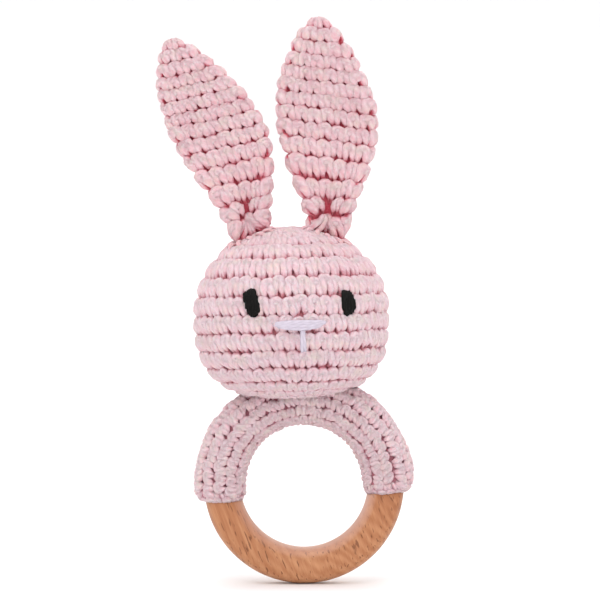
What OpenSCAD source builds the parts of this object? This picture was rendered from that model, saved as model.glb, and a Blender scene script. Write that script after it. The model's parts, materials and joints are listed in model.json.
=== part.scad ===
// Crochet bunny rattle on a beech-wood teething ring.
// Origin: centre of the wood ring. +Z points up to the ears, -Y is the bunny's face side.

/* [Wood ring] */
// Outside diameter of the wood ring
ring_od = 55; // [50:0.5:60]
// Thickness of the ring's section, radially and front to back
ring_section = 10; // [9:0.1:10.5]
// Rounding radius of the section's corners
ring_round = 4; // [3:0.1:4.4]

/* [Crochet sleeve] */
// Outside radius of the crochet tube round the ring
sleeve_r = 7.05; // [6.9:0.05:7.4]
// How far the tube is fatter towards the ring's outside
sleeve_shift = 0.85; // [0.6:0.05:0.9]
// Play between the sleeve and the wood
sleeve_play = 0.25; // [0.15:0.05:0.3]
// Angle of the sleeve's right end, counted up from the +X side
sleeve_start = -6; // [-15:1:5]
// Arc of the ring that the sleeve covers
sleeve_arc = 198; // [180:1:210]

/* [Head] */
// Half of the head's width
head_half_w = 26.8; // [25:0.2:29]
// Half of the head's height
head_half_h = 24; // [23:0.2:26]
// Fullness of the head's outline above its middle, where 2 is an ellipse
head_power_up = 2; // [2:0.1:2.6]
// Fullness of the head's outline below its middle
head_power_down = 2.8; // [2.4:0.1:3]
// Sideways place of the head's middle
head_x = -3.5; // [-5:0.5:0]
// Height of the head's middle over the ring's middle
head_z = 46.8; // [46:0.2:48.5]
// Thickness of the crochet fabric
fabric = 3; // [2:0.1:3.2]
// Room between the saddle under the head and the sleeve
saddle_gap = 0.8; // [0.7:0.1:1]

/* [Ears] */
// Length of the left and right ears over their roots
ear_len = [55.6, 56.9]; // [45:0.1:65]
// Half width of each ear where it meets the head
ear_root_half = 5; // [4:0.1:5.5]
// Half of the left and right ears' greatest width
ear_half_w = [12.4, 13.6]; // [8:0.1:15]
// Lean of the left and right ears towards the left, in degrees
ear_lean = [20, 1.3]; // [0:0.1:25]
// Sideways curve of the left and right ears
ear_bow = [2.5, 1.4]; // [0:0.1:3]
// Thickness of an ear down its middle
ear_thick = 5; // [4:0.1:5]

/* [Rattle] */
// Outside radius of the rattle case
case_r = 12.5; // [11:0.1:13]
// Wall thickness of the rattle case
case_wall = 1.3; // [1.2:0.1:1.8]
// Radius of each rattle bead
bead_r = 2; // [1.5:0.1:2.4]

/* [Hidden] */
$fn = 96;

fit_gap = 0.1;                     // between sealed pieces of one body
ring_mid = (ring_od - ring_section) / 2;
sleeve_mid = ring_mid + sleeve_shift;
sleeve_end = sleeve_start + sleeve_arc;
hem_r = 1.3;                       // roll of yarn at each end of the sleeve
hem_mid = sleeve_r - 0.9;
saddle_r = sleeve_r + saddle_gap;
outline_steps = 28;                // points along an ear's side or a quarter of the head
head_mid = [head_x, 0, head_z];

seam_r = 0.75;                     // sewing yarn
seam_angle = 155;                  // place round the tube, from outward (0) over the back (90)
seam_notch = seam_r + 0.15;
neck_angle = 62;                   // place of the neck seam round the tube, front and back
neck_from = 72;                    // stretch of the ring's arc that the neck seam follows
neck_to = 114;
neck_notch = seam_r + 0.1;

ear_sides = [-1, 1];
ear_root_x = [-11.35, 9.8];        // from the head's middle
ear_root_y = -5;
ear_base_slope = [20, -18];        // slope of the line that each ear is sewn along
ear_root_r = 2;                    // pinched root, round about the line it bends on
ear_edge = 2.8;                    // thickness at an ear's edges
ear_lift = ear_root_r + 0.6;
ear_seam_half = [8.3, 4.4];        // flat loop of sewing yarn round the root
ear_seam_hole = [7.1, 3];
ear_seam_on = 0.7;

thread_off = 0.05;                 // sewn threads lie this far off the head's surface
thread_on = 1;                     // and reach this far out
eye_x = [-10.9, 15.6];             // from the head's middle
eye_z = 2.7;
eye_h = 8.4;
eye_w = 4.2;
nose_x = 2.6;
nose_z = -3.3;
nose_w = 14.3;
nose_h = 2.9;
mouth_x = 3.4;
mouth_top = -4.95;
mouth_len = 6.6;
mouth_w = 1.5;

case_mid = [head_x, 0, head_z + 2.4];
case_in = case_r - case_wall;
lip_h = 1.6;                       // overlap where the case's halves snap together
lip_wall = case_wall / 2;
bead_track = case_in - bead_r - 0.2;
bead_y = [-6, 0, 6];

// Height of the head's surface over its middle, at a distance r from its upright axis
function head_top(r) =
    head_half_h * pow(1 - pow(r / head_half_w, head_power_up), 1 / head_power_up);

// A point on the head's side outline, from its bottom (angle -90) over its middle to its top
function head_edge(angle, half_w, half_h) =
    let (p = angle < 0 ? head_power_down : head_power_up)
    [half_w * pow(cos(angle), 2 / p), sign(angle) * half_h * pow(abs(sin(angle)), 2 / p)];

// Half width of an ear, from its root (u = 0) to its tip (u = 1)
function ear_half(u, widest) =
    ear_root_half * pow(1 - u, 2)
    + (widest - ear_root_half / 4) * pow(sin(180 * pow(u, 1.15)), 1.2 - 0.5 * u);

// Sideways shift of an ear's middle line
function ear_shift(u, bow) = bow * sin(270 * u) * (1 - 0.4 * u);

function ear_root(i) = [
    head_x + ear_root_x[i],
    ear_root_y,
    head_z + head_top(norm([ear_root_x[i], ear_root_y])) + ear_lift
];

// Turns a shape round +Z into one round the ring's axis, where 0 is +X and 90 is up
module about_ring(from = 0) {
    rotate([90, 0, 0]) rotate([0, 0, from]) children();
}

// A ring-shaped tube, or an arc of one
module tube_arc(mid, r, from = 0, arc = 360, side = 0) {
    about_ring(from) rotate_extrude(angle = arc) translate([mid, side]) circle(r);
}

// The ring's section: a square with rounded corners, grown by a margin
module ring_profile(grow) {
    flat = ring_section / 2 - ring_round;
    round_r = ring_round + grow;
    for (x = [-flat, flat], y = [-flat, flat]) translate([x, y]) circle(round_r);
    square([2 * flat, 2 * (flat + round_r)], center = true);
    square([2 * (flat + round_r), 2 * flat], center = true);
}

module ring_body(grow) {
    about_ring() rotate_extrude() translate([ring_mid, 0]) ring_profile(grow);
}

// The head's rounded form, smaller all round by an inset
module head_form(inset) {
    half_w = head_half_w - inset;
    half_h = head_half_h - inset;
    side = [for (i = [-outline_steps:outline_steps])
        head_edge(90 * i / outline_steps, half_w, half_h)];
    translate(head_mid) rotate_extrude() polygon(side);
}

// A layer that follows the head's surface, for threads sewn onto it
module head_skin(on) {
    difference() {
        head_form(-on);
        head_form(-thread_off);
    }
}

module saddle(grow) {
    tube_arc(sleeve_mid, saddle_r + grow);
}

// Paths of the neck seam, in front of the sleeve and behind it
module neck_paths(r) {
    reach = saddle_r + seam_r;
    for (side = [-1, 1])
        tube_arc(sleeve_mid + reach * cos(neck_angle), r, neck_from, neck_to - neck_from,
                 side * reach * sin(neck_angle));
}

module seam_path(r, from, arc) {
    reach = sleeve_r + 0.35;
    tube_arc(sleeve_mid + reach * cos(seam_angle), r, from, arc, -reach * sin(seam_angle));
}

// Pointed oval, drawn as the overlap of two circles
module pointed_oval(w, h) {
    r = (h * h + w * w) / (4 * w);
    intersection() {
        translate([r - w / 2, 0]) circle(r);
        translate([w / 2 - r, 0]) circle(r);
    }
}

module stadium(half_l, half_w) {
    for (x = [half_w - half_l, half_l - half_w]) translate([x, 0]) circle(half_w);
    square([2 * (half_l - half_w), 2 * half_w], center = true);
}

// A flat outline pushed back onto the face, at a place counted from the head's middle
module on_face(x, z) {
    intersection() {
        head_skin(thread_on);
        translate([head_x + x, -head_half_w / 3, head_z + z])
            rotate([90, 0, 0]) linear_extrude(head_half_w) children();
    }
}

module ear(i) {
    up = [for (k = [0:outline_steps]) k / outline_steps];
    right = [for (u = up) [ear_shift(u, ear_bow[i]) + ear_half(u, ear_half_w[i]), u * ear_len[i]]];
    left = [for (k = [outline_steps - 1:-1:0])
        [ear_shift(up[k], ear_bow[i]) - ear_half(up[k], ear_half_w[i]), up[k] * ear_len[i]]];
    dip = (ear_thick - ear_edge) / 2;
    crown_r = (ear_half_w[i] * ear_half_w[i] + dip * dip) / (2 * dip);
    translate(ear_root(i)) {
        rotate([0, -ear_lean[i], 0]) intersection() {
            rotate([90, 0, 0]) linear_extrude(ear_thick + 1, center = true)
                polygon(concat(right, left));
            intersection_for (side = [-1, 1])
                translate([0, side * (crown_r - ear_thick / 2), -1])
                    cylinder(h = ear_len[i] + 2, r = crown_r, $fn = 200);
        }
        rotate([0, 90 - ear_base_slope[i], 0])
            cylinder(h = 2 * ear_root_half, r = ear_root_r, center = true);
    }
}

module ear_seam(i) {
    intersection() {
        head_skin(ear_seam_on);
        translate(ear_root(i)) rotate([0, -ear_base_slope[i], 0])
            linear_extrude(2 * ear_lift + 6, center = true) difference() {
                stadium(ear_seam_half[0], ear_seam_half[1]);
                stadium(ear_seam_hole[0], ear_seam_hole[1]);
            }
    }
}

// One half of the rattle case, opening upwards or downwards
module case_half(up) {
    turn = up ? 0 : 180;
    translate(case_mid) rotate([turn, 0, 0]) difference() {
        intersection() {
            sphere(case_r);
            translate([0, 0, case_r + (up ? -lip_h : 0)])
                cube(2 * case_r, center = true);
        }
        sphere(case_in);
        if (up) {
            translate([0, 0, -lip_h - 1]) difference() {
                cylinder(h = lip_h + 1, r = case_r + 1);
                cylinder(h = lip_h + 1, r = case_r - lip_wall - fit_gap);
            }
        } else {
            translate([0, 0, -1]) cylinder(h = lip_h + 1 + fit_gap, r = case_r - lip_wall);
        }
    }
}

module bead(i) {
    radius = sqrt(bead_track * bead_track - bead_y[i] * bead_y[i]);
    translate(case_mid + [0, bead_y[i], -radius]) sphere(bead_r);
}

module wood_ring() {
    color("burlywood") ring_body(0);
}

module ring_sleeve() {
    color("pink") difference() {
        union() {
            tube_arc(sleeve_mid, sleeve_r, sleeve_start, sleeve_arc);
            for (a = [sleeve_start + 2, sleeve_end - 2])
                about_ring(a) translate([sleeve_mid, 0, 0]) rotate([90, 0, 0])
                    rotate_extrude() translate([hem_mid, 0]) circle(hem_r, $fn = 32);
        }
        ring_body(sleeve_play);
        seam_path(seam_notch, sleeve_start - 10, sleeve_arc + 20);
    }
}

module sleeve_seam() {
    color("palevioletred") seam_path(seam_r, sleeve_start + 4, sleeve_arc - 8);
}

module neck_seam() {
    color("palevioletred") neck_paths(seam_r);
}

module head_shell() {
    color("pink") difference() {
        head_form(0);
        saddle(0);
        neck_paths(neck_notch);
        difference() {
            head_form(fabric);
            saddle(fabric);
        }
    }
}

module head_filling() {
    color("white") difference() {
        head_form(fabric + fit_gap);
        saddle(fabric + fit_gap);
        translate(case_mid) sphere(case_r + fit_gap);
    }
}

module rattle_case_top() {
    color("lightyellow") case_half(true);
}

module rattle_case_bottom() {
    color("lightyellow") case_half(false);
}

module rattle_bead_1() {
    color("silver") bead(0);
}

module rattle_bead_2() {
    color("silver") bead(1);
}

module rattle_bead_3() {
    color("silver") bead(2);
}

module ear_left() {
    color("pink") ear(0);
}

module ear_right() {
    color("pink") ear(1);
}

module ear_left_seam() {
    color("palevioletred") ear_seam(0);
}

module ear_right_seam() {
    color("palevioletred") ear_seam(1);
}

module eye_left() {
    color("black") on_face(eye_x[0], eye_z) pointed_oval(eye_w, eye_h);
}

// A half-moon: the outer half of a fatter oval
module eye_right() {
    color("black") on_face(eye_x[1] - eye_w / 2, eye_z) intersection() {
        pointed_oval(2 * eye_w, eye_h);
        translate([0, -eye_h]) square([eye_w, 2 * eye_h]);
    }
}

module nose_stitches() {
    color("lavender") on_face(nose_x, nose_z) rotate(90) pointed_oval(nose_h, nose_w);
}

module mouth_stitches() {
    color("lavender") on_face(mouth_x, mouth_top - mouth_len / 2)
        square([mouth_w, mouth_len], center = true);
}

wood_ring();
ring_sleeve();
sleeve_seam();
neck_seam();
head_shell();
head_filling();
rattle_case_top();
rattle_case_bottom();
rattle_bead_1();
rattle_bead_2();
rattle_bead_3();
ear_left();
ear_right();
ear_left_seam();
ear_right_seam();
eye_left();
eye_right();
nose_stitches();
mouth_stitches();
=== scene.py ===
"""Crochet bunny rattle on a beech-wood teething ring.

The stitches are loops of plied yarn laid row by row on guide surfaces, which follow the CAD shapes.
A guide surface takes u, turns round the piece, and v, metres along its rows, and gives points.
"""
import json
import math

import bpy
import numpy as np
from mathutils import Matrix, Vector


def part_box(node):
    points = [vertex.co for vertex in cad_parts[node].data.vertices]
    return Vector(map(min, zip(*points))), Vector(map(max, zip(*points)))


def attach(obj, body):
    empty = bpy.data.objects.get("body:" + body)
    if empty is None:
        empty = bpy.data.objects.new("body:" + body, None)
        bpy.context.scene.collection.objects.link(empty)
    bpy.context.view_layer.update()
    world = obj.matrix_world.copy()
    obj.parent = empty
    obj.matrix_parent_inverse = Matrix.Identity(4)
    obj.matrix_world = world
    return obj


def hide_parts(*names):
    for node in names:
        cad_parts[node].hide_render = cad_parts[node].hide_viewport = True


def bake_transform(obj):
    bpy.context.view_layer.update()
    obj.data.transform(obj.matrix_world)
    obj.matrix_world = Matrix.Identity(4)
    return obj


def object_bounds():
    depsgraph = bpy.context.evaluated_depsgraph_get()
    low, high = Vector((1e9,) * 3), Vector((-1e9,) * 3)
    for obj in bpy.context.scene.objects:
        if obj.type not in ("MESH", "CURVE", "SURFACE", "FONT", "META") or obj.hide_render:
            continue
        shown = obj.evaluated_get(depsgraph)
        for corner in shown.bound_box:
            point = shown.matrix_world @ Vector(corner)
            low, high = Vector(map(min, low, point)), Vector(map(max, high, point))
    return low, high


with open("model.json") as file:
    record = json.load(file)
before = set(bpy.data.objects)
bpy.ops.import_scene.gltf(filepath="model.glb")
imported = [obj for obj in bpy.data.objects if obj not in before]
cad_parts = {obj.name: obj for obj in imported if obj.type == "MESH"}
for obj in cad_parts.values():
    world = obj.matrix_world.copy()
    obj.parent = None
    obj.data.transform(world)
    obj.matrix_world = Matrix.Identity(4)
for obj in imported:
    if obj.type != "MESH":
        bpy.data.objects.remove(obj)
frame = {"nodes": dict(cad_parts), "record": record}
CAD_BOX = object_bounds()
MM = 0.001
TURN = 2 * math.pi
JOINTS = {j["name"]: j for j in frame["record"]["behaviour"]["joints"]}


def node_box(name):
    """The low and the high corner of a CAD node's box."""
    low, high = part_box(name)
    return np.array(low, float), np.array(high, float)


def smooth(t):
    """Eases from 0 to 1 as t goes from 0 to 1."""
    t = np.clip(t, 0.0, 1.0)
    return t * t * (3 - 2 * t)


def noise(seed, *shape):
    """Even random numbers from -1 to 1."""
    return np.random.default_rng(seed).uniform(-1.0, 1.0, shape)


# ---------------------------------------------------------------- sizes

YARN = 0.92 * MM                 # radius of the crochet yarn
PILE = 1.5 * MM                  # from a guide surface to the tops of its stitches

# The rest follows the CAD pieces' boxes and joints.
RING_LOW, RING_HIGH = node_box("wood_ring")
RING_SECTION = RING_HIGH[1] - RING_LOW[1]
RING_MID = RING_HIGH[0] - RING_SECTION / 2
RING_ROUND = 0.4 * RING_SECTION  # radius of the section's rounded corners

SLEEVE_TOP = node_box("ring_sleeve")[1][2]
SLEEVE_AXIS = JOINTS["head_nod"]["pos_m"][2]
SLEEVE_R = SLEEVE_TOP - SLEEVE_AXIS              # of the sleeve's tube
SLEEVE_MID = SLEEVE_AXIS - 0.3 * MM              # from the ring's centre to the middle of the tube
SLEEVE_FROM = math.radians(-4.5)                 # its right end, from the ring's right
SLEEVE_ARC = math.radians(195)                   # and from there over the top to its left end
SLEEVE_TILT = 0.04               # of its ends, whose outer edges are cut back, in radians

HEAD_LOW, HEAD_HIGH = node_box("head_shell")
HEAD_HALF_W = (HEAD_HIGH[0] - HEAD_LOW[0]) / 2
HEAD_SQUASH = 0.8955             # height over width
HEAD_HALF_H = HEAD_SQUASH * HEAD_HALF_W
HEAD_MID = np.array([(HEAD_HIGH[0] + HEAD_LOW[0]) / 2, 0.0, HEAD_HIGH[2] - HEAD_HALF_H])
HEAD_POWER_UP = 2.0              # its outline is an ellipse above the middle
HEAD_POWER_DOWN = 2.8            # and squarer below
HEAD_ROLL = math.radians(1.5)    # the rounds rise a little towards the viewer's right


# ---------------------------------------------------------------- camera

CAMERA_DISTANCE = 0.68
CAMERA_X = -1.1 * MM
VIEW_WIDTH = 0.165               # what the picture takes in, across the ring
SENSOR_WIDTH = 36.0


def add_camera():
    """At the photograph's viewing angle: straight in front, at the middle of the height."""
    data = bpy.data.cameras.new("camera")
    data.sensor_width = SENSOR_WIDTH
    data.lens = SENSOR_WIDTH * CAMERA_DISTANCE / VIEW_WIDTH
    data.clip_start = 0.01
    cam = bpy.data.objects.new("camera", data)
    cam.location = (CAMERA_X, -CAMERA_DISTANCE, (CAD_BOX[0][2] + CAD_BOX[1][2]) / 2)
    cam.rotation_euler = (math.radians(90), 0, 0)
    bpy.context.scene.collection.objects.link(cam)
    bpy.context.scene.camera = cam


add_camera()


# ---------------------------------------------------------------- meshes

def new_object(name, mesh, material, body=None):
    """An object in the scene, which rides on a body if one is named."""
    ob = bpy.data.objects.new(name, mesh)
    bpy.context.scene.collection.objects.link(ob)
    mesh.materials.append(material)
    if body:
        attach(ob, body)
    return ob


def mesh_from(name, verts, faces):
    """A smooth-shaded mesh from arrays. faces is (n, 4), with -1 as the last corner of a triangle."""
    verts = np.asarray(verts, np.float32).reshape(-1, 3)
    faces = np.asarray(faces, np.int64)
    used = faces >= 0
    sizes = used.sum(axis=1)
    mesh = bpy.data.meshes.new(name)
    mesh.vertices.add(len(verts))
    mesh.vertices.foreach_set("co", verts.ravel())
    mesh.loops.add(int(sizes.sum()))
    mesh.loops.foreach_set("vertex_index", faces[used].astype(np.int32))
    mesh.polygons.add(len(faces))
    starts = np.concatenate([[0], np.cumsum(sizes)[:-1]]).astype(np.int32)
    mesh.polygons.foreach_set("loop_start", starts)
    mesh.polygons.foreach_set("use_smooth", np.ones(len(faces), bool))
    mesh.update(calc_edges=True)
    return mesh


def add_uv(mesh, name, coords):
    """coords: one (u, v) for each face corner."""
    layer = mesh.uv_layers.new(name=name)
    layer.data.foreach_set("uv", np.asarray(coords, np.float32).ravel())


def add_colour(mesh, name, values):
    """values: one (r, g, b) for each vertex."""
    rgba = np.ones((len(values), 4), np.float32)
    rgba[:, :3] = values
    mesh.attributes.new(name, "FLOAT_COLOR", "POINT").data.foreach_set("color", rgba.ravel())


def grid_faces(rows, cols, wrap_rows=False, wrap_cols=False):
    """Quads over a grid of vertices, row by row, joined end to end where it wraps."""
    r = np.arange(rows if wrap_rows else rows - 1)
    c = np.arange(cols if wrap_cols else cols - 1)
    r, c = np.meshgrid(r, c, indexing="ij")
    r2, c2 = (r + 1) % rows, (c + 1) % cols
    quads = np.stack([r * cols + c, r * cols + c2, r2 * cols + c2, r2 * cols + c], axis=-1)
    return quads.reshape(-1, 4)


# ---------------------------------------------------------------- yarn

ATLAS_MARGIN = 0.04              # round each strand's cell in the baking atlas, as a share of the cell
SIDES = 12                       # corners round a strand of yarn
PLIES = 3
PLY_PITCH = 10.0 * MM            # length in which a ply goes once round the yarn
YARN_LUMPS = 0.06                # unevenness of a strand's radius from ring to ring
YARN_FLUFF = 0.08                # and from corner to corner
TWIST_START = 0.05               # each strand's twist starts anywhere within this length, in metres


def spline(points, count):
    """A Catmull-Rom curve through the points, as a (count, n) array."""
    p = np.asarray(points, float)
    p = np.vstack([2 * p[0] - p[1], p, 2 * p[-1] - p[-2]])
    t = np.linspace(0, len(p) - 3, count)
    i = np.minimum(t.astype(int), len(p) - 4)
    f = (t - i)[:, None]
    a, b, c, d = p[i], p[i + 1], p[i + 2], p[i + 3]
    return 0.5 * (2 * b + (c - a) * f + (2 * a - 5 * b + 4 * c - d) * f**2
                  + (3 * b - a - 3 * c + d) * f**3)


def unit(v):
    """The vectors scaled to length 1."""
    return v / np.maximum(np.linalg.norm(v, axis=-1, keepdims=True), 1e-12)


def strand_faces(strands, rings):
    """The faces of closed strands: the quads round each, then a fan of triangles at either end."""
    body = grid_faces(rings, SIDES, wrap_cols=True)
    first, last = rings * SIDES, rings * SIDES + 1
    k = np.arange(SIDES)
    k2 = (k + 1) % SIDES
    none = np.full(SIDES, -1)
    top = (rings - 1) * SIDES
    cap_a = np.stack([np.full(SIDES, first), k2, k, none], axis=1)
    cap_b = np.stack([np.full(SIDES, last), top + k, top + k2, none], axis=1)
    one = np.concatenate([body, cap_a, cap_b])
    shift = (np.arange(strands) * (rings * SIDES + 2))[:, None, None]
    return np.where(one[None] < 0, -1, one[None] + shift).reshape(-1, 4)


def strand_corners(rings):
    """For each face corner of a strand: how far round it is, 0 to 1 without a seam jump, and its ring."""
    k = np.arange(SIDES)
    round_body = np.tile(np.stack([k, k + 1, k + 1, k], axis=1) / SIDES, (rings - 1, 1))
    round_cap_a = np.stack([k + 0.5, k + 1, k], axis=1) / SIDES
    round_cap_b = np.stack([k + 0.5, k, k + 1], axis=1) / SIDES
    ring_no = np.repeat(np.arange(rings - 1), SIDES)
    ring_body = np.stack([ring_no, ring_no, ring_no + 1, ring_no + 1], axis=1)
    ring_cap_a = np.zeros((SIDES, 3), int)
    ring_cap_b = np.full((SIDES, 3), rings - 1)
    round_at = np.concatenate([round_body.ravel(), round_cap_a.ravel(), round_cap_b.ravel()])
    ring_at = np.concatenate([ring_body.ravel(), ring_cap_a.ravel(), ring_cap_b.ravel()])
    return round_at, ring_at


def strand_mesh(name, paths, outward, radius, height, tint, seed,
                lobes=0.10, pitch=PLY_PITCH, flat=0.80, squeeze=None):
    """Closed strands of twisted yarn. paths is (strands, rings, 3), and outward the surface's normals there.

    lobes is how far the plies bulge, as a share of the radius, and pitch the length of their twist.
    flat is the yarn's thickness out of the surface as a share of its width along it.
    The colour attribute "stitch" holds how far out each point stands, 0 to 1, a tint for each strand,
    and a number of the strand's own.
    """
    strands, rings, _ = paths.shape
    along = unit(np.gradient(paths, axis=1))
    side_a = unit(outward - (outward * along).sum(-1, keepdims=True) * along)
    side_b = np.cross(along, side_a)
    step = np.linalg.norm(np.diff(paths, axis=1), axis=-1)
    length = np.concatenate([np.zeros((strands, 1)), np.cumsum(step, axis=1)], axis=1)
    length = length + TWIST_START * noise(seed, strands, 1)
    angle = np.arange(SIDES) * TURN / SIDES
    twist = PLIES * angle + PLIES * TURN * length[..., None] / pitch
    uneven = (YARN_LUMPS * noise(seed + 3, strands, rings, 1)
              + YARN_FLUFF * noise(seed + 4, strands, rings, SIDES))
    r = radius[..., None] * (1 + lobes * np.cos(twist) + uneven)
    ca, sa = np.cos(angle), np.sin(angle)
    verts = (paths[:, :, None] + (r * ca * flat)[..., None] * side_a[:, :, None]
             + (r * sa)[..., None] * side_b[:, :, None])
    lift = height[..., None] + radius[..., None] * ca
    ends = paths[:, [0, -1]] + (np.array([-0.5, 0.5])[None, :, None] * radius[:, [0, -1], None]
                                * along[:, [0, -1]])
    all_verts = np.concatenate([verts.reshape(strands, -1, 3), ends], axis=1)
    if squeeze is not None:
        all_verts = squeeze(all_verts)
    mesh = mesh_from(name, all_verts, strand_faces(strands, rings))

    # how far round each corner is, and how far along in metres
    round_at, ring_at = strand_corners(rings)
    yarn_uv = np.stack([np.broadcast_to(round_at, (strands, len(round_at))), length[:, ring_at]], axis=-1)
    add_uv(mesh, "yarn", yarn_uv)

    # the atlas for baking, with one cell for each strand
    cells = math.ceil(math.sqrt(strands))
    cell = np.stack([np.arange(strands) % cells, np.arange(strands) // cells], axis=-1)[:, None]
    inside = np.stack([round_at, ring_at / (rings - 1)], axis=-1)[None]
    inside = ATLAS_MARGIN + (1 - 2 * ATLAS_MARGIN) * inside
    add_uv(mesh, "OFBake", (cell + inside) / cells)

    values = np.zeros((strands, all_verts.shape[1], 3))
    # how far out each point stands, which the yarn material turns into painted shade in the gaps
    values[:, :rings * SIDES, 0] = np.clip(lift / PILE, 0, 1).reshape(strands, -1)
    values[:, :, 1] = tint[:, None]
    values[:, :, 2] = np.random.default_rng(seed + 7).uniform(0, 1, (strands, 1))
    add_colour(mesh, "stitch", values.reshape(-1, 3))
    return mesh


# A stitch is a loop over a short bar, seen from outside: across (stitch widths), down its row
# (row heights), out (yarn radii). The loop's two legs go down from its top and under the next row's tops.
LOOP_SIDE = [
    (0.17, 1.26, -1.10), (0.285, 1.06, -0.45), (0.315, 0.80, 0.20),
    (0.275, 0.50, 0.55), (0.235, 0.22, 0.42),
]
LOOP_TOP = (0.0, 0.17, 0.12)
LOOP = [(-x, d, o) for x, d, o in LOOP_SIDE] + [LOOP_TOP] + LOOP_SIDE[::-1]
BAR = [(-0.60, 0.42, 0.16), (-0.30, 0.36, 0.36), (0.0, 0.33, 0.46), (0.30, 0.36, 0.36), (0.60, 0.42, 0.16)]
# How much stitches differ: in width, place along the row, place down it, slant, height and thickness.
WOBBLE = (0.075, 0.0375, 0.0625, 0.375, 0.1125, 0.0625)
STITCH_RINGS = 21
STITCH_WIDTH = 3.55 * MM         # of a stitch whose yarn isn't pressed together


def surface_point(guide, u, v, out):
    """Points at a height over a guide surface, and its outward normal there."""
    du, dv = 1e-4, 2e-5
    p = guide(u, v)
    across = guide(u + du, v) - guide(u - du, v)
    down = guide(u, v + dv) - guide(u, v - dv)
    normal = unit(np.cross(down, across))
    return p + out[..., None] * normal, normal


def stitch_row(guide, count, top, bottom, seed, slant, gap, fat, proud, loose,
               start=0.0, turns=1.0, least=0.62):
    """One row of stitches, as paths, normals, radii and heights.

    slant leans the stitches, gap opens the holes at the row's lower edge, fat is the yarn's thickness,
    proud how far the row stands out and loose how much the stitches differ.
    Where a stitch has less width the yarn is pressed thinner, down to a least share.
    """
    t = np.abs(np.linspace(-1, 1, STITCH_RINGS))[None, :]
    wobble = noise(seed, count, len(WOBBLE)) * WOBBLE * loose
    wide, aside, lower, lean, higher, thick = np.split(wobble, len(WOBBLE), axis=1)
    parts = []
    for shape, thin, narrow in ((LOOP, 0.46 * gap, smooth((t - 0.46) / 0.34)), (BAR, 0.12, t**2)):
        path = spline(shape, STITCH_RINGS)[None]
        down = path[..., 1] + lower
        s = path[..., 0] * (1 + wide) + aside + slant * (1 + lean) * (down - 0.5)
        out = path[..., 2] * proud + higher
        u = start + turns * (np.arange(count)[:, None] + 0.5 + s) / count
        v = top + (bottom - top) * down
        # the stitch's real width here, from the distance between two points 0.6 of a stitch apart
        middle = np.broadcast_to(start + turns * (np.arange(count)[:, None] + 0.5) / count, u.shape)
        third = 0.3 * turns / count
        edge, _ = surface_point(guide, middle + third, v, np.full_like(v, 0.4 * YARN))
        other, _ = surface_point(guide, middle - third, v, np.full_like(v, 0.4 * YARN))
        fit = np.clip(np.linalg.norm(edge - other, axis=-1) / (0.6 * STITCH_WIDTH), least, 1.3)
        radius = YARN * fat * fit * (1 + thick) * (1 - thin * narrow)
        p, normal = surface_point(guide, u, v, out * YARN)
        parts.append((p, normal, radius, (out / proud + 0.3 * (1 - proud)) * YARN))
    return [np.concatenate(pair) for pair in zip(*parts)]


def crochet(name, rows, material, body, seed, replaced, squeeze=None):
    """Joins rows of stitches into one mesh piece."""
    p, normal, radius, height = (np.concatenate([row[i] for row in rows]) for i in range(4))
    tint = 0.5 + 0.5 * noise(seed, len(p))
    mesh = strand_mesh(name, p, normal, radius, height, tint, seed, squeeze=squeeze)
    piece = new_object(name, mesh, material, body)
    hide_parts(replaced)
    return piece


# ---------------------------------------------------------------- shader helpers

class Nodes:
    """Short calls for building a material's node tree."""

    def __init__(self, name):
        self.mat = bpy.data.materials.new(name)
        self.mat.use_nodes = True
        self.tree = self.mat.node_tree
        self.tree.nodes.clear()
        output = self.add("OutputMaterial")
        self.bsdf = self.add("BsdfPrincipled")
        self.feed(output.inputs[0], self.bsdf.outputs[0])

    def add(self, kind, **properties):
        node = self.tree.nodes.new("ShaderNode" + kind)
        for key, value in properties.items():
            setattr(node, key, value)
        return node

    def feed(self, socket, value):
        """Sets an input to a number or a colour, or links it to an output."""
        if isinstance(value, bpy.types.NodeSocket):
            self.tree.links.new(value, socket)
        elif socket.type == "RGBA":
            socket.default_value = (*value, 1.0)
        else:
            socket.default_value = value

    def math(self, operation, a, b=0.0, clamp=False):
        node = self.add("Math", operation=operation, use_clamp=clamp)
        self.feed(node.inputs[0], a)
        self.feed(node.inputs[1], b)
        return node.outputs[0]

    def mix(self, factor, a, b, blend="MIX"):
        node = self.add("Mix", data_type="RGBA", blend_type=blend)
        for i, value in ((0, factor), (6, a), (7, b)):
            self.feed(node.inputs[i], value)
        return node.outputs[2]

    def ramp(self, factor, stops):
        node = self.add("ValToRGB")
        el = node.color_ramp.elements
        while len(el) < len(stops):
            el.new(0.5)
        for e, (at, colour) in zip(el, stops):
            e.position = at
            e.color = (*colour, 1.0)
        self.feed(node.inputs[0], factor)
        return node.outputs[0]

    def noise(self, scale, vector, detail=2.0, rough=0.5):
        node = self.add("TexNoise")
        for key, value in (("Scale", scale), ("Vector", vector), ("Detail", detail), ("Roughness", rough)):
            self.feed(node.inputs[key], value)
        return node.outputs[0]

    def combine(self, x, y, z=0.0):
        node = self.add("CombineXYZ")
        for socket, value in zip(node.inputs, (x, y, z)):
            self.feed(socket, value)
        return node.outputs[0]

    def separate(self, vector):
        node = self.add("SeparateXYZ")
        self.feed(node.inputs[0], vector)
        return node.outputs

    def bump(self, height, strength, distance):
        node = self.add("Bump")
        for key, value in (("Strength", strength), ("Distance", distance), ("Height", height)):
            self.feed(node.inputs[key], value)
        self.feed(self.bsdf.inputs["Normal"], node.outputs[0])

    def set(self, **values):
        """Feeds the surface shader's inputs, named in small letters with underscores."""
        for key, value in values.items():
            self.feed(self.bsdf.inputs[key.replace("_", " ").title()], value)


def srgb(r, g, b):
    """A colour given in 0 to 255 steps, as linear light."""
    return tuple(((c / 255 + 0.055) / 1.055) ** 2.4 if c > 10 else c / 255 / 12.92 for c in (r, g, b))


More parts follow.
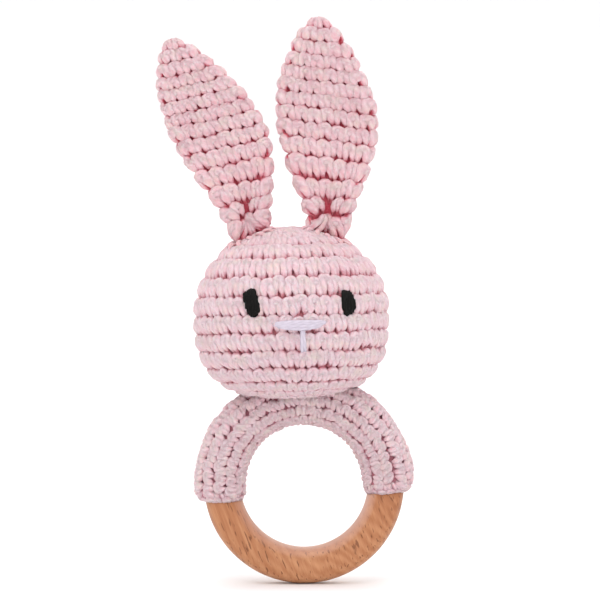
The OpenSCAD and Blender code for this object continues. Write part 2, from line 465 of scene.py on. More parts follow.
MOTTLE_MIDDLE = 1.13                     # brightness that the mottling goes up and down from
MOTTLE_PARTS = (0.30, 1.3, 1.05)         # how strongly it changes red, green and blue


def yarn_material(name, pale, mid, deep):
    """Plied cotton with painted light and shade: paler on the crowns of the stitches, a deep and warm painted
    shade in the gaps between them.
    """
    n = Nodes(name)
    yarn = n.separate(n.add("UVMap", uv_map="yarn").outputs[0])
    stitch = n.add("SeparateColor")
    n.feed(stitch.inputs[0], n.add("Attribute", attribute_name="stitch").outputs[0])
    lift, tint, own = stitch.outputs
    turns = n.math("ADD", n.math("MULTIPLY", yarn[0], PLIES), n.math("MULTIPLY", yarn[1], PLIES / PLY_PITCH))
    ply = n.math("ADD", n.math("MULTIPLY", n.math("COSINE", n.math("MULTIPLY", turns, TURN)), 0.5), 0.5)
    fibre = n.noise(1.0, n.combine(n.math("MULTIPLY", turns, 8.0), n.math("MULTIPLY", yarn[1], 1100.0),
                                   n.math("MULTIPLY", own, 50.0)), 4.0, 0.65)
    place = n.add("TexCoord").outputs["Object"]
    patch = n.noise(300.0, place, 3.0, 0.7)
    fuzz = n.noise(2200.0, place, 3.0, 0.75)
    # painted light and shade: the colour runs from the deep colour in the gaps, painted shade, up to the pale
    # crowns, with how far out each point stands
    depth = n.math("ADD", lift, n.math("MULTIPLY", n.math("SUBTRACT", fuzz, 0.5), 0.5))
    colour = n.ramp(depth, [(0.0, deep), (0.16, deep), (0.36, mid), (0.70, pale)])
    # painted shade in the grooves between the plies
    ply_groove_shade = n.math("MULTIPLY", n.math("SUBTRACT", 1.0, ply), 0.22)
    colour = n.mix(ply_groove_shade, colour, mid, "MULTIPLY")
    mottle = n.math("ADD", n.math("MULTIPLY", fibre, 0.55), n.math("MULTIPLY", fuzz, 0.45))
    channels = [n.math("ADD", MOTTLE_MIDDLE - 0.5 * part, n.math("MULTIPLY", mottle, part))
                for part in MOTTLE_PARTS]
    colour = n.mix(1.0, colour, n.combine(*channels), "MULTIPLY")
    warm = n.math("MULTIPLY", n.math("SUBTRACT", patch, 0.46), 2.6, clamp=True)
    colour = n.mix(n.math("MULTIPLY", warm, lift), colour, srgb(236, 213, 200))
    flush = n.math("MULTIPLY", n.math("SUBTRACT", n.noise(110.0, place, 2.0, 0.6), 0.47), 3.0, clamp=True)
    colour = n.mix(n.math("MULTIPLY", flush, 0.35), colour, mid)
    fluff = n.math("MULTIPLY", n.math("SUBTRACT", fibre, 0.56), 6.0, clamp=True)
    colour = n.mix(n.math("MULTIPLY", fluff, 0.6), colour, srgb(243, 227, 223))
    colour = n.mix(n.math("MULTIPLY", tint, 0.10), colour, mid)
    n.set(base_color=colour, roughness=n.math("ADD", 0.72, n.math("MULTIPLY", fibre, 0.22)))
    n.bsdf.inputs["Subsurface Weight"].default_value = 0.35
    n.bsdf.inputs["Subsurface Radius"].default_value = (1.0, 0.55, 0.55)
    n.bsdf.inputs["Subsurface Scale"].default_value = 1.2 * MM
    n.bsdf.inputs["Sheen Weight"].default_value = 0.25
    n.bsdf.inputs["Sheen Roughness"].default_value = 0.45
    n.bsdf.inputs["Sheen Tint"].default_value = (*srgb(255, 232, 236), 1.0)
    n.bsdf.inputs["Specular IOR Level"].default_value = 0.2
    relief = n.math("ADD", n.math("MULTIPLY", ply, 0.55),
                    n.math("ADD", n.math("MULTIPLY", fuzz, 1.2), n.math("MULTIPLY", fibre, 0.5)))
    n.bump(relief, 1.0, 0.36 * MM)
    return n.mat


def shaded_backing_material(name, deep, dark):
    """The inside loops of the fabric, seen only through the gaps, in darker colours that are painted shade.
    """
    n = Nodes(name)
    place = n.add("TexCoord").outputs["Object"]
    lump = n.noise(900.0, place, 3.0, 0.6)
    n.set(base_color=n.ramp(lump, [(0.3, dark), (0.7, deep)]), roughness=0.95)
    n.bump(lump, 0.6, 0.4 * MM)
    return n.mat


# each yarn's pale, mid and deep colours; the deep one is painted shade in the gaps
HEAD_YARN = yarn_material("head_yarn", srgb(231, 200, 207), srgb(217, 168, 178), srgb(208, 130, 142))
EAR_YARN = yarn_material("ear_yarn", srgb(233, 194, 200), srgb(215, 146, 158), srgb(204, 84, 100))
SLEEVE_YARN = yarn_material("sleeve_yarn", srgb(228, 195, 201), srgb(214, 171, 180), srgb(172, 106, 119))
# the backings' colours are darkened as painted shade inside the pieces
HEAD_SHADED_BACK = shaded_backing_material("head_shaded_backing", srgb(214, 140, 149), srgb(192, 108, 118))
EAR_SHADED_BACK = shaded_backing_material("ear_shaded_backing", srgb(208, 100, 114), srgb(178, 50, 68))
SLEEVE_SHADED_BACK = shaded_backing_material("sleeve_shaded_backing", srgb(182, 118, 129), srgb(156, 94, 105))


# ---------------------------------------------------------------- guide surfaces

def half_outline(half_w, half_h):
    """The head's side outline from its crown down, as distance along it, radius and height."""
    a = np.radians(np.linspace(90, -90, 6001))
    p = np.where(a < 0, HEAD_POWER_DOWN, HEAD_POWER_UP)
    r = half_w * np.cos(a).clip(0) ** (2 / p)
    z = half_h * np.sign(a) * np.abs(np.sin(a)) ** (2 / p)
    s = np.concatenate([[0], np.cumsum(np.hypot(np.diff(r), np.diff(z)))])
    return s, r, z


def clear_of_sleeve(p, gap):
    """Moves points that lie inside the sleeve's tube, or too near it, out to a gap from it."""
    flat = np.hypot(p[..., 0], p[..., 2])
    centre = p * np.array([1.0, 0.0, 1.0]) * (SLEEVE_MID / np.maximum(flat, 1e-6))[..., None]
    away = p - centre
    dist = np.linalg.norm(away, axis=-1, keepdims=True)
    reach = SLEEVE_R + gap
    return np.where(dist < reach, centre + away * reach / np.maximum(dist, 1e-6), p)


def head_guide(inset, gap):
    """The head as a guide: u from the front round to the viewer's right, v down from the crown."""
    s, r, z = half_outline(HEAD_HALF_W - inset, HEAD_HALF_H - inset)

    def point(u, v):
        rr = np.interp(np.abs(v), s, r)
        zz = np.interp(np.abs(v), s, z)
        a = TURN * u
        x, y = rr * np.sin(a), -rr * np.cos(a)
        xx = x * math.cos(HEAD_ROLL) - zz * math.sin(HEAD_ROLL)
        zz = x * math.sin(HEAD_ROLL) + zz * math.cos(HEAD_ROLL)
        p = np.stack([xx, y, zz], axis=-1) + HEAD_MID
        return clear_of_sleeve(p, gap)

    return point, s[-1]


def sleeve_guide(inset):
    """The sleeve's tube: u along the arc from the viewer's left, v round it from outward over the front."""
    def point(u, v):
        rad = SLEEVE_R - inset
        t = v / rad
        a = SLEEVE_FROM + SLEEVE_ARC * (1 - u) + SLEEVE_TILT * np.cos(t) * (2 * u - 1)
        flat = SLEEVE_MID + rad * np.cos(t)
        return np.stack([flat * np.cos(a), -rad * np.sin(t), flat * np.sin(a)], axis=-1)

    return point


def hem_guide(right):
    """The rolled hem at an end of the sleeve: u round the tube, v over the roll from outside to the ring."""
    roll = 1.0 * MM
    edge = SLEEVE_FROM if right else SLEEVE_FROM + SLEEVE_ARC
    way = -1.0 if right else 1.0

    def point(u, v):
        around = way * TURN * u
        t = v / roll
        rad = SLEEVE_R - SLEEVE_PILE - 0.1 * MM - roll + roll * np.cos(t)
        flat = SLEEVE_MID + rad * np.cos(around)
        a = edge + way * ((roll * np.sin(t) - 0.8 * roll) / SLEEVE_MID - SLEEVE_TILT * np.cos(around))
        return np.stack([flat * np.cos(a), -rad * np.sin(around), flat * np.sin(a)], axis=-1)

    return point


def off_the_wood(gap):
    """Flattens yarn against the wood instead of letting it run into it."""
    def squeeze(p):
        flat = np.hypot(p[..., 0], p[..., 2])
        a, b = flat - RING_MID, p[..., 1]
        core = RING_SECTION / 2 - RING_ROUND
        qa, qb = np.clip(a, -core, core), np.clip(b, -core, core)
        da, db = a - qa, b - qb
        dist = np.hypot(da, db)
        reach = RING_ROUND + gap
        grow = np.where(dist < reach, reach / np.maximum(dist, 1e-6), 1.0)
        new_flat = RING_MID + qa + da * grow
        scale = new_flat / np.maximum(flat, 1e-6)
        return np.stack([p[..., 0] * scale, qb + db * grow, p[..., 2] * scale], axis=-1)

    return squeeze


# ---------------------------------------------------------------- head

# Rounds from the crown down: where each ends, its stitches, and how open the holes in it are.
HEAD_ENDS = [4.1, 8.2, 12.2, 16.3, 21.6, 27.6, 33.1, 38.2, 42.8, 47.5, 52.3, 57.1, 61.5, 65.8, 69.6]
HEAD_COUNTS = [8, 16, 24, 30, 36, 42, 48, 48, 48, 48, 48, 48, 42, 36, 30]
HEAD_GAPS = [0.0, 0.0, 0.2, 0.6, 0.9, 1.1, 1.1, 1.2, 1.1, 1.15, 1.15, 0.95, 0.65, 0.35, 0.3]
HEAD_TOTAL = 77.5                # the same measure, from crown to the middle of the underside
# The head's pieces, and the rounds in each.
HEAD_SECTIONS = {"head_crown": slice(0, 6), "head_brow": slice(6, 9), "head_cheeks": slice(9, 12),
                 "head_chin": slice(12, 15)}


def build_head():
    """The head's rounds, in four pieces from the crown down, and the lining behind them."""
    guide, total = head_guide(inset=PILE - 0.3 * MM, gap=1.1 * MM)
    scale = total / HEAD_TOTAL
    rows = []
    top = 0.0
    for k, (end, count, gap) in enumerate(zip(HEAD_ENDS, HEAD_COUNTS, HEAD_GAPS)):
        soft = max(0.0, 1 - gap)
        rows.append(stitch_row(guide, count, top * scale, end * scale, 100 + k, start=0.37 * k, slant=0.18,
                               gap=gap, fat=1.36 + 0.12 * soft, proud=0.95 - 0.6 * soft, loose=1.3))
        top = end
    for name, part in HEAD_SECTIONS.items():
        crochet(name, rows[part], HEAD_YARN, "head", 300, "head_shell")

    around, down = 96, 90
    lining_guide, total = head_guide(inset=PILE + 0.45 * MM, gap=0.5 * MM)
    u, v = np.meshgrid(np.arange(around) / around, np.linspace(0.2 * MM, 0.90 * total, down), indexing="ij")
    mesh = mesh_from("head_lining", lining_guide(u, v), grid_faces(around, down, wrap_rows=True))
    lining = new_object("head_lining", mesh, HEAD_SHADED_BACK, "head")


# ---------------------------------------------------------------- ears

# Millimetres, and degrees of lean. EAR_ENDS is where each round ends, from the tip down.
# half and root are half widths, in the middle and at the root. bow is how far the ear bends sideways,
# and drift how far its tip strays to the viewer's left.
EAR_ENDS = [3.0, 6.4, 10.2, 13.6, 17.2, 20.9, 24.6, 28.7, 33.0, 37.8, 43.2, 48.6, 52.4, 58.4]
EAR_MEASURED = 56.0              # the ear's length in the measure of EAR_ENDS
EARS = {
    "left": {"length": 55.8, "half": 12.2, "lean": 20.6, "bow": 2.5, "drift": 0.9, "root": 5.4},
    "right": {"length": 56.9, "half": 13.4, "lean": 1.3, "bow": 1.4, "drift": 0.4, "root": 5.2},
}
EAR_INSET = 0.9                  # from the ear's outline to the guide surface's edge
TIP_ROUND = 3.0                  # the tip is rounded over this length
EAR_THICK = 1.5                  # half of the flattened tube, up to the guide surface
EAR_TILT = math.tan(math.radians(-9))   # rounds fall to the viewer's right
EAR_FOLD = math.radians(64)      # how far the root's two edges are folded forwards
FOLD_HEIGHT = 17.0               # the fold fades out this far above the root
ROOT_HALF = 2.6                  # least half width of the folded root
ROOT_BACK = 2.2                  # the fold's middle stands this far behind the joint
EAR_ARCH = 1.2                   # and the ear's middle curves back by this
EAR_SPLIT = 10                   # rounds in the stiff upper piece, which rides on the ear; the rest make the root piece
POCKET_ROW = 12                  # this round has an opening in front; the round below it fans out from there


def stadium(u, w, h):
    """A point on a flat loop of half width w and half thickness h, counted from mid front to the right."""
    flat = w - h
    cap = math.pi * h
    around = 4 * flat + 2 * cap
    s = (u % 1.0) * around
    a1 = (s - flat) / h - math.pi / 2
    a2 = (s - 3 * flat - cap) / h + math.pi / 2
    zones = [s < flat, s < flat + cap, s < 3 * flat + cap, s < 3 * flat + 2 * cap]
    x = np.select(zones, [s, flat + h * np.cos(a1), 2 * flat + cap - s, -flat + h * np.cos(a2)], s - around)
    y = np.select(zones, [-h, h * np.sin(a1), h, h * np.sin(a2)], -h)
    return x, y


def ear_half(t, ear):
    """Half the ear's width at a share t of its length from its root, in millimetres."""
    t = np.clip(t, 0.0, 1.0)
    swell = np.sin(math.pi * t**1.15) ** (0.95 - 0.25 * t)
    return ear["root"] * (1 - t) ** 2 + (ear["half"] - ear["root"] / 4) * swell


BACKWARD = np.array([0.0, 1.0, 0.0])


def ear_guide(side):
    """The ear as a guide: a flattened tube, v down from its tip, with its root folded forwards."""
    ear = EARS[side]
    root = np.array(JOINTS[f"ear_{side}_flop"]["pos_m"])
    lean = math.radians(ear["lean"])
    right = np.array([math.cos(lean), 0.0, math.sin(lean)])
    up = np.array([-math.sin(lean), 0.0, math.cos(lean)])

    def point(u, v):
        z = ear["length"] - EAR_INSET - v / MM
        t = z / ear["length"]
        across, _ = stadium(u, np.maximum(ear_half(t, ear) - EAR_INSET, 0.3), 0.2)
        z = z + EAR_TILT * across * smooth(t / 0.25) * smooth((1 - t) / 0.15)
        t = np.clip(z / ear["length"], 0.0, 1.0)
        tip = np.sqrt(np.clip((ear["length"] - EAR_INSET - z) / TIP_ROUND, 0.01, 1.0))
        low = 1 - smooth(z / FOLD_HEIGHT)
        fold = 0.01 + EAR_FOLD * low**1.3
        wide = np.maximum(ear_half(t, ear) - EAR_INSET - 0.4 * EAR_THICK * np.sin(fold), ROOT_HALF) * tip
        bent = wide * fold / np.sin(fold)
        x, y = stadium(u, bent, np.minimum(EAR_THICK, 0.9 * bent))
        turn = fold * x / bent
        radius = bent / fold
        bow = ear["bow"] * np.sin(1.5 * math.pi * t) * (1 - 0.4 * t)
        x = (radius + y) * np.sin(turn) + bow - ear["drift"] * t
        y = (radius + y) * np.cos(turn) - radius
        y = y + ROOT_BACK * low + EAR_ARCH * np.sin(math.pi * t) ** 2
        return root + MM * (x[..., None] * right + y[..., None] * BACKWARD + z[..., None] * up)

    return point


def ear_row(guide, k, top, bottom, seed):
    """Round k of an ear. The lowest two start in front, where the upper one leaves out its middle stitch."""
    ring = guide(np.linspace(0, 1, 200), np.full(200, (top + bottom) / 2))
    girth = np.linalg.norm(np.diff(ring, axis=0), axis=1).sum()
    count = max(5, round(girth / STITCH_WIDTH))
    low = k >= POCKET_ROW
    fan = k > POCKET_ROW
    start = 0.5 / count if low else 0.31 * k
    middle = (start + (np.arange(count) + 0.5) / count + 0.5) % 1.0 - 0.5
    spread = 1.0 if fan else -0.45
    slant = 0.05 + low * spread * np.sign(middle) * (np.abs(middle) < 0.3)
    row = stitch_row(guide, count, top, bottom, seed, start=start, slant=slant[:, None],
                     gap=1.15, fat=1.30, proud=1.1 + 0.3 * low, loose=1.3 + 0.5 * low + 1.2 * fan)
    if k == POCKET_ROW:
        row = [part[np.abs(np.tile(middle, 2)) > 0.05] for part in row]
    return row


def build_ear(side):
    """An ear's stiff blade, which rides on the ear, and its root and lining, which ride on no body."""
    ear = EARS[side]
    guide = ear_guide(side)
    scale = ear["length"] / EAR_MEASURED
    rows = []
    top = 0.0
    for k, end in enumerate(EAR_ENDS):
        bottom = end * scale * MM
        rows.append(ear_row(guide, k, top, bottom, 700 + k + 50 * len(side)))
        top = bottom
    name = f"ear_{side}"
    crochet(name + "_blade", rows[:EAR_SPLIT], EAR_YARN, name, 720 + len(side), name)
    piece = crochet(name + "_root", rows[EAR_SPLIT:], EAR_YARN, None, 730 + len(side), name)

    around, down = 64, 80
    u, v = np.meshgrid(np.arange(around) / around, np.linspace(0.6, 59 * scale, down) * MM, indexing="ij")
    points, _ = surface_point(guide, u, v, np.full(u.shape, -0.6 * MM))
    mesh = mesh_from(name + "_lining", points, grid_faces(around, down, wrap_rows=True))
    lining = new_object(name + "_lining", mesh, EAR_SHADED_BACK)
    for part in (piece, lining):
        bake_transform(part)


# ---------------------------------------------------------------- sleeve

SLEEVE_ROWS = 12                 # rows round the tube, each from one hem to the other
SLEEVE_STITCHES = 27             # in every other row; the rows between have one fewer
SLEEVE_PILE = 1.1 * MM           # from the tube's outside to the surface that its stitches follow
HEM_STITCHES = 15
HEM_ROWS = ((0.0, 3.4 * MM, 540), (-2.6 * MM, 0.0, 550))     # from, to and seed of each row over the roll


def build_sleeve():
    """The sleeve's front and back, a hem at each end, and the lining behind them."""
    guide = sleeve_guide(SLEEVE_PILE)
    girth = TURN * (SLEEVE_R - SLEEVE_PILE)
    squeeze = off_the_wood(gap=0.2 * MM)
    rows = []
    for k in range(SLEEVE_ROWS):
        odd = k % 2
        margin = 0.012 + 0.5 * odd / SLEEVE_STITCHES
        slant = 0.40 if odd else -0.30
        rows.append(stitch_row(guide, SLEEVE_STITCHES - odd, girth * (k - 0.5) / SLEEVE_ROWS,
                               girth * (k + 0.5) / SLEEVE_ROWS, 500 + k, start=margin, turns=1.0 - 2 * margin,
                               slant=slant, gap=1.3, fat=1.24, proud=0.7, loose=2.0, least=0.78))
    halves = {"sleeve_front": rows[:SLEEVE_ROWS // 2], "sleeve_back": rows[SLEEVE_ROWS // 2:]}
    for name, half in halves.items():
        crochet(name, half, SLEEVE_YARN, "sleeve", 520, "ring_sleeve", squeeze)

    for right, name in enumerate(("hem_left", "hem_right")):
        hem = hem_guide(right)
        rows = [stitch_row(hem, HEM_STITCHES, first, last, seed + right, slant=0.3,
                           gap=0.2, fat=1.15, proud=0.4, loose=1.5) for first, last, seed in HEM_ROWS]
        crochet(name, rows, SLEEVE_YARN, "sleeve", 560, "ring_sleeve", squeeze)

    along, around = 90, 48
    inset = SLEEVE_PILE + 0.3 * MM
    lining_girth = TURN * (SLEEVE_R - inset)
    u, v = np.meshgrid(np.linspace(0, 1, along), np.arange(around) / around * lining_girth, indexing="ij")
    points = off_the_wood(gap=0.25 * MM)(sleeve_guide(inset)(u, v))
    mesh = mesh_from("sleeve_lining", points, grid_faces(along, around, wrap_cols=True))
    lining = new_object("sleeve_lining", mesh, SLEEVE_SHADED_BACK, "sleeve")


# ---------------------------------------------------------------- wooden ring

BEECH_DARK = srgb(146, 84, 48)
BEECH_MID = srgb(173, 112, 73)
BEECH_PALE = srgb(199, 143, 102)
BEECH_PORE = srgb(116, 66, 38)
# colour of the painted highlight on the rim round the hole
BEECH_RIM_HIGHLIGHT = srgb(212, 170, 152)


def beech():
    """Beech cut so that its grain falls steeply to the right, with short dark pores."""
    n = Nodes("beech")
    place = n.add("TexCoord").outputs["Object"]
    turned = n.add("Mapping")
    turned.inputs["Rotation"].default_value = (0.0, math.radians(20), 0.0)
    n.feed(turned.inputs["Vector"], place)
    across, deep, along = n.separate(turned.outputs[0])

    def stretched(fine, long):
        """Coordinates for noise that is drawn out along the grain."""
        return n.combine(n.math("MULTIPLY", across, fine), n.math("MULTIPLY", deep, fine),
                         n.math("MULTIPLY", along, long))

    sway = n.noise(1.0, stretched(55, 22), 2.0, 0.5)
    level = n.math("ADD", n.math("MULTIPLY", across, 330.0), n.math("MULTIPLY", sway, 9.0))
    level = n.math("ADD", level, n.math("MULTIPLY", n.math("MULTIPLY", along, along), -5200.0))
    growth = n.math("ADD", n.math("MULTIPLY", n.math("SINE", n.math("MULTIPLY", level, 6.0)), 0.5), 0.5)
    fibre = n.noise(1.0, stretched(1500, 90), 3.0, 0.65)
    broad = n.noise(1.0, stretched(90, 30), 2.0, 0.5)
    x, _, z = n.separate(place)
    # painted light: the wood is paler towards the bottom, standing in for light that falls there
    low = n.math("MULTIPLY", z, -0.18 / RING_MID, clamp=True)
    tone = n.math("ADD", n.math("ADD", n.math("MULTIPLY", growth, 0.13), low),
                  n.math("ADD", n.math("MULTIPLY", fibre, 0.50), n.math("MULTIPLY", broad, 0.38)))
    colour = n.ramp(tone, [(0.30, BEECH_DARK), (0.55, BEECH_MID), (0.85, BEECH_PALE)])

    pores = n.noise(1.0, stretched(1900, 290), 1.0, 0.4)
    pores = n.math("MULTIPLY", n.math("SUBTRACT", pores, 0.632), 16.0, clamp=True)
    colour = n.mix(n.math("MULTIPLY", pores, 0.8), colour, BEECH_PORE)

    # painted highlight: paler on the rim round the hole, above all at the viewer's right
    reach = n.math("SQRT", n.math("ADD", n.math("MULTIPLY", x, x), n.math("MULTIPLY", z, z)))
    rim_highlight = n.math("MULTIPLY", n.math("SUBTRACT", RING_MID - 2.2 * MM, reach), 420.0, clamp=True)
    rim_highlight_strength = n.math("ADD", 0.62, n.math("MULTIPLY", x, 0.25 / RING_MID))
    colour = n.mix(n.math("MULTIPLY", rim_highlight, rim_highlight_strength), colour, BEECH_RIM_HIGHLIGHT)
    n.set(base_color=colour, roughness=n.math("ADD", 0.40, n.math("MULTIPLY", fibre, 0.16)))
    n.bsdf.inputs["Specular IOR Level"].default_value = 0.42
    n.bump(n.math("SUBTRACT", fibre, pores), 0.18, 0.15 * MM)
    return n.mat


def build_wood():
    """The ring turned to a section that is nearly round."""
    rounds, sides = 200, 56
    t = np.arange(sides) * TURN / sides
    core = RING_SECTION / 2 - RING_ROUND
    out = RING_MID + RING_ROUND * np.cos(t) + core * np.clip(1.6 * np.cos(t), -1, 1)
    side = RING_ROUND * np.sin(t) + core * np.clip(1.6 * np.sin(t), -1, 1)
    a = np.arange(rounds)[:, None] * TURN / rounds
    verts = np.stack([out * np.cos(a), np.broadcast_to(side, (rounds, sides)), out * np.sin(a)], axis=-1)
    mesh = mesh_from("wood_turned", verts, grid_faces(rounds, sides, True, True))
    wood = new_object("wood_turned", mesh, beech(), "ring")
    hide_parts("wood_ring")


# ---------------------------------------------------------------- face

THREAD_PLIES = 2.0
THREAD_PITCH = 5.0 * MM


def thread_material(name, colour, shine, rough):
    """Smooth embroidery thread."""
    n = Nodes(name)
    yarn = n.separate(n.add("UVMap", uv_map="yarn").outputs[0])
    turns = n.math("ADD", n.math("MULTIPLY", yarn[0], THREAD_PLIES),
                   n.math("MULTIPLY", yarn[1], THREAD_PLIES / THREAD_PITCH))
    ply = n.math("ADD", n.math("MULTIPLY", n.math("COSINE", n.math("MULTIPLY", turns, TURN)), 0.5), 0.5)
    fine = n.noise(1.0, n.combine(n.math("MULTIPLY", yarn[0], 40.0), n.math("MULTIPLY", yarn[1], 700.0)), 2.0)
    shade = n.math("ADD", 0.68, n.math("ADD", n.math("MULTIPLY", ply, 0.10), n.math("MULTIPLY", fine, 0.40)))
    n.set(base_color=n.mix(1.0, colour, n.combine(shade, shade, shade), "MULTIPLY"), roughness=rough)
    n.bsdf.inputs["Specular IOR Level"].default_value = shine
    n.bump(n.math("ADD", n.math("MULTIPLY", ply, 0.5), fine), 0.3, 0.08 * MM)
    return n.mat


def face_point(x, z, out):
    """A point on the front of the head, from its middle, at a height over the tops of the stitches."""
    power = np.where(z < 0, HEAD_POWER_DOWN, HEAD_POWER_UP)
    reach = (HEAD_HALF_W + out) * (1 - np.abs(z / (HEAD_HALF_H + out)) ** power).clip(0) ** (1 / power)
    y = -np.sqrt(np.maximum(reach**2 - x**2, 0))
    return np.stack([x, y, z], axis=-1) + HEAD_MID


def threads(name, lines, thick, proud, material, node, seed):
    """Long stitches over the face, in millimetres from the middle of the head.

    Each line is x, z at one end, x, z at the other, and how far the thread's middle rises.
    """
    t = np.linspace(0, 1, STITCH_RINGS)[None, :]
    ends = np.array(lines, float) * MM
    x = ends[:, None, 0] * (1 - t) + ends[:, None, 2] * t
    z = ends[:, None, 1] * (1 - t) + ends[:, None, 3] * t + ends[:, None, 4] * np.sin(math.pi * t)
    arch = 1 - np.abs(2 * t - 1) ** 6
    lift = (proud * MM * (0.25 + 0.75 * arch) - 1.1 * MM * (1 - arch)) * np.ones_like(x)
    lift = lift + 0.08 * MM * noise(seed, len(lines), 1)
    p = face_point(x, z, lift)
    normal = unit(face_point(x, z, lift + MM) - p)
    radius = thick * MM * (0.72 + 0.28 * arch) * (1 + 0.05 * noise(seed + 1, len(lines), 1)) * np.ones_like(x)
    mesh = strand_mesh(name, p, normal, radius, lift, np.full(len(lines), 0.5), seed,
                       lobes=0.03, pitch=THREAD_PITCH, flat=0.9)
    piece = new_object(name, mesh, material, "head")
    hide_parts(node)


# Each eye's outline as x, z in millimetres from the middle of the head, from its left end to its right.
EYES = {
    "left": {
        "threads": 9,
        "top": [(-12.4, 5.3), (-10.6, 7.0), (-9.6, 6.5), (-9.2, 4.6), (-8.7, 3.0)],
        "bottom": [(-12.4, 2.9), (-11.9, 0.8), (-11.5, -0.2), (-10.4, -1.35), (-9.6, -1.0), (-8.7, 0.2)],
    },
    "right": {
        "threads": 8,
        "top": [(13.8, 6.1), (14.7, 6.3), (15.6, 6.0), (16.4, 4.9), (16.8, 3.7)],
        "bottom": [(13.8, 0.5), (14.2, -0.6), (14.7, -1.1), (16.4, 0.3), (16.8, 1.1)],
    },
}
EYE_LEAN = 0.15                  # the threads' lower ends stand this far to the right
# The nose's and mouth's threads, as the lines that threads() takes.
NOSE = [(-4.6, -2.7, 9.8, -2.3, 0.25), (-4.8, -2.9, 9.7, -2.5, -0.05), (-4.7, -3.1, 9.0, -2.95, -0.4),
        (-4.3, -3.3, 8.8, -3.1, -0.9)]
MOUTH = [(2.9, -4.0, 3.0, -10.4, 0.0), (3.25, -4.0, 3.8, -10.2, 0.0)]


def build_face():
    """The eyes, nose and mouth in thread."""
    black = thread_material("black_thread", srgb(16, 15, 14), 0.12, 0.6)
    pale = thread_material("pale_thread", srgb(208, 198, 212), 0.35, 0.45)
    for side, eye in EYES.items():
        name = f"eye_{side}"
        x = np.linspace(eye["top"][0][0], eye["top"][-1][0], eye["threads"])
        top, bottom = (np.interp(x, *zip(*eye[edge])) for edge in ("top", "bottom"))
        lines = np.stack([x, top, x + EYE_LEAN, bottom, np.zeros_like(x)], axis=-1)
        threads(name + "_satin", lines, 0.44, 0.35, black, name, 800 + len(name))
    threads("nose_satin", NOSE, 0.50, 0.45, pale, "nose_stitches", 820)
    threads("mouth_thread", MOUTH, 0.48, 0.30, pale, "mouth_stitches", 830)


# ---------------------------------------------------------------- seams

SEAM_YARN = 0.62 * MM            # radius of the sewing yarn
SEAM_TURN = 155                  # degrees from the tube's outer side over its back to the sleeve's seam
NECK_TURN = 58                   # the same to the neck seam, behind and in front
NECK_ARC = (73, 113)             # degrees from the ring's right between which the neck seam lies
EAR_SEAT = (5.6 * MM, 3.4 * MM)  # half axes of the oval seam round an ear's root


def whip_stitches(name, guide, spots, reach, lean, material, body, node, seed):
    """A seam: short stitches of yarn across a line on a guide surface.

    spots are their (u, v). Each goes from -reach to reach in v, in metres, and from -lean to lean in u.
    """
    spots = np.array(spots, float)
    t = np.linspace(-1, 1, STITCH_RINGS)[None, :]
    u = spots[:, None, 0] + lean * t
    v = spots[:, None, 1] + reach * t
    out = MM * (0.35 - 1.2 * np.abs(t) ** 3) + 0.1 * MM * noise(seed, len(spots), 1)
    p, normal = surface_point(guide, u, v, out)
    radius = SEAM_YARN * (1 - 0.2 * np.abs(t) ** 3) * np.ones_like(u)
    mesh = strand_mesh(name, p, normal, radius, out + 0.9 * MM, np.full(len(spots), 0.5), seed)
    piece = new_object(name, mesh, material, body)
    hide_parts(node)


def ear_seat_guide(side):
    """The head's top round an ear: u round the ear's root, v outward from the seam."""
    root = np.array(JOINTS[f"ear_{side}_flop"]["pos_m"]) - HEAD_MID

    def point(u, v):
        a = TURN * u
        x = root[0] + (EAR_SEAT[0] + v) * np.sin(a)
        y = root[1] - (EAR_SEAT[1] + v) * np.cos(a)
        flat = ((x / HEAD_HALF_W) ** 2 + (y / HEAD_HALF_W) ** 2).clip(0, 0.99)
        z = (HEAD_HALF_H - 0.3 * MM) * np.sqrt(1 - flat)
        return np.stack([x, y, z], axis=-1) + HEAD_MID

    return point


def build_seams():
    """The sleeve's closing seam, the neck seam in front and behind, and one seam round each ear."""
    guide = sleeve_guide(0.0)
    back_inside = math.radians(360 - SEAM_TURN) * SLEEVE_R
    along = np.linspace(0.05, 0.95, 34)
    whip_stitches("sleeve_seam_yarn", guide, [(u, back_inside) for u in along], 1.0 * MM, 0.008,
                  SLEEVE_YARN, "sleeve", "sleeve_seam", 900)
    guide = sleeve_guide(-0.5 * MM)
    across = [1 - (math.radians(a) - SLEEVE_FROM) / SLEEVE_ARC for a in np.linspace(*NECK_ARC, 12)]
    neck = [math.radians(a) * (SLEEVE_R + 0.5 * MM) for a in (NECK_TURN, 360 - NECK_TURN)]
    whip_stitches("neck_seam_yarn", guide, [(u, v) for v in neck for u in across], 1.5 * MM, 0.006,
                  HEAD_YARN, "head", "neck_seam", 910)
    round_the_ear = [(k / 12, 0.0) for k in range(12)]
    for side in ("left", "right"):
        whip_stitches(f"ear_{side}_seam_yarn", ear_seat_guide(side), round_the_ear, 1.5 * MM, 0.02,
                      EAR_YARN, "head", f"ear_{side}_seam", 920)


# ---------------------------------------------------------------- inside the head

def build_filling():
    """The head's stuffing, a lumpy ball of fibre."""
    around, down = 72, 60
    guide, total = head_guide(inset=4.6 * MM, gap=4.2 * MM)
    u, v = np.meshgrid(np.arange(around) / around, np.linspace(0.3 * MM, 0.97 * total, down), indexing="ij")
    lumps = 0.5 * np.sin(9 * TURN * u + 700 * v) * np.sin(1100 * v) + 0.25 * noise(77, around, down)
    points, _ = surface_point(guide, u, v, lumps * MM)
    n = Nodes("fibre_filling")
    tuft = n.noise(800.0, n.add("TexCoord").outputs["Object"], 4.0, 0.7)
    n.set(base_color=n.ramp(tuft, [(0.3, srgb(226, 224, 220)), (0.7, srgb(250, 250, 248))]), roughness=1.0)
    n.bsdf.inputs["Sheen Weight"].default_value = 0.5
    n.bump(tuft, 0.8, 0.5 * MM)
    mesh = mesh_from("filling_fibre", points, grid_faces(around, down, wrap_rows=True))
    filling = new_object("filling_fibre", mesh, n.mat, "head")
    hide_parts("head_filling")


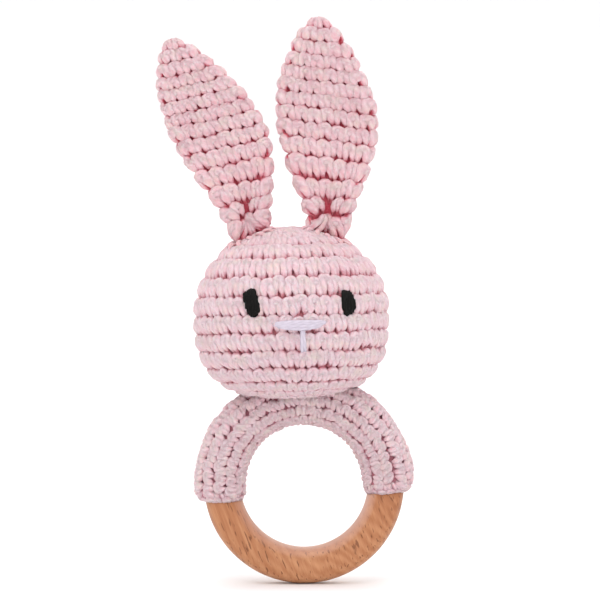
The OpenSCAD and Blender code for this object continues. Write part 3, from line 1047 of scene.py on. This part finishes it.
def finish_rattle():
    """Finishes for the rattle case and its beads, which keep their CAD shape."""
    case = Nodes("rattle_plastic")
    grain = case.noise(1500.0, case.add("TexCoord").outputs["Object"], 2.0)
    case.set(base_color=case.ramp(grain, [(0.3, srgb(228, 230, 232)), (0.7, srgb(240, 241, 242))]),
             roughness=0.35)
    case.bump(grain, 0.05, 0.05 * MM)
    steel = Nodes("rattle_steel")
    scratch = steel.noise(2500.0, steel.add("TexCoord").outputs["Object"], 3.0)
    steel.set(base_color=steel.ramp(scratch, [(0.3, srgb(176, 178, 182)), (0.7, srgb(205, 207, 210))]),
              roughness=steel.math("ADD", 0.18, steel.math("MULTIPLY", scratch, 0.15)))
    steel.bsdf.inputs["Metallic"].default_value = 1.0
    finishes = {"rattle_case_top": case.mat, "rattle_case_bottom": case.mat}
    finishes.update({f"rattle_bead_{k}": steel.mat for k in (1, 2, 3)})
    for node, material in finishes.items():
        mesh = frame["nodes"][node].data
        mesh.materials.clear()
        mesh.materials.append(material)


build_head()
build_ear("left")
build_ear("right")
build_sleeve()
build_wood()
build_face()
build_seams()
build_filling()
finish_rattle()


# ---------------------------------------------------------------- stage and light

def add_stage():
    """A plain pale floor that curves up all round, so that every side is seen against the same white."""
    low = CAD_BOX[0][2]
    reach, bend = 0.5, 2.6
    around = 96
    arc = np.linspace(0, 0.45 * math.pi, 40)
    profile = [(0.0, 0.0)] + [(reach + bend * math.sin(a), bend * (1 - math.cos(a))) for a in arc]
    r, z = np.array(profile).T
    a = np.arange(around) * TURN / around
    level = np.outer(z + low, np.ones(around))
    verts = np.stack([np.outer(r, np.cos(a)), np.outer(r, np.sin(a)), level], axis=-1)
    mesh = mesh_from("stage", verts, grid_faces(len(profile), around, wrap_cols=True))
    n = Nodes("stage_white")
    n.set(base_color=srgb(250, 250, 250), roughness=0.9)
    new_object("stage", mesh, n.mat)


LIGHT_AIM = np.array([0, 0, 0.045])      # near the middle of the object


def add_light(name, place, size, power):
    """A square soft light that faces the object."""
    data = bpy.data.lights.new(name, "AREA")
    data.size = size
    data.energy = power
    ob = bpy.data.objects.new(name, data)
    ob.location = place
    way = LIGHT_AIM - place
    dip = math.acos(-way[2] / np.linalg.norm(way))
    ob.rotation_euler = (dip, 0, math.atan2(way[1], way[0]) - math.pi / 2)
    bpy.context.scene.collection.objects.link(ob)


def add_lights():
    """Soft studio light from the front, above and behind, in a white world."""
    add_light("key", (-0.2, -1.0, 0.95), 0.7, 3.5)
    add_light("fill", (0.8, -0.9, 0.5), 0.9, 0.9)
    add_light("top", (0.0, 0.0, 1.3), 1.0, 3.9)
    add_light("back", (0.2, 1.2, 0.7), 0.9, 2.4)
    world = bpy.data.worlds.new("world")
    bpy.context.scene.world = world
    world.use_nodes = True
    world.node_tree.nodes["Background"].inputs[0].default_value = (1, 1, 1, 1)
    world.node_tree.nodes["Background"].inputs[1].default_value = 1.0
    bpy.context.scene.view_settings.view_transform = "Standard"


add_stage()
add_lights()
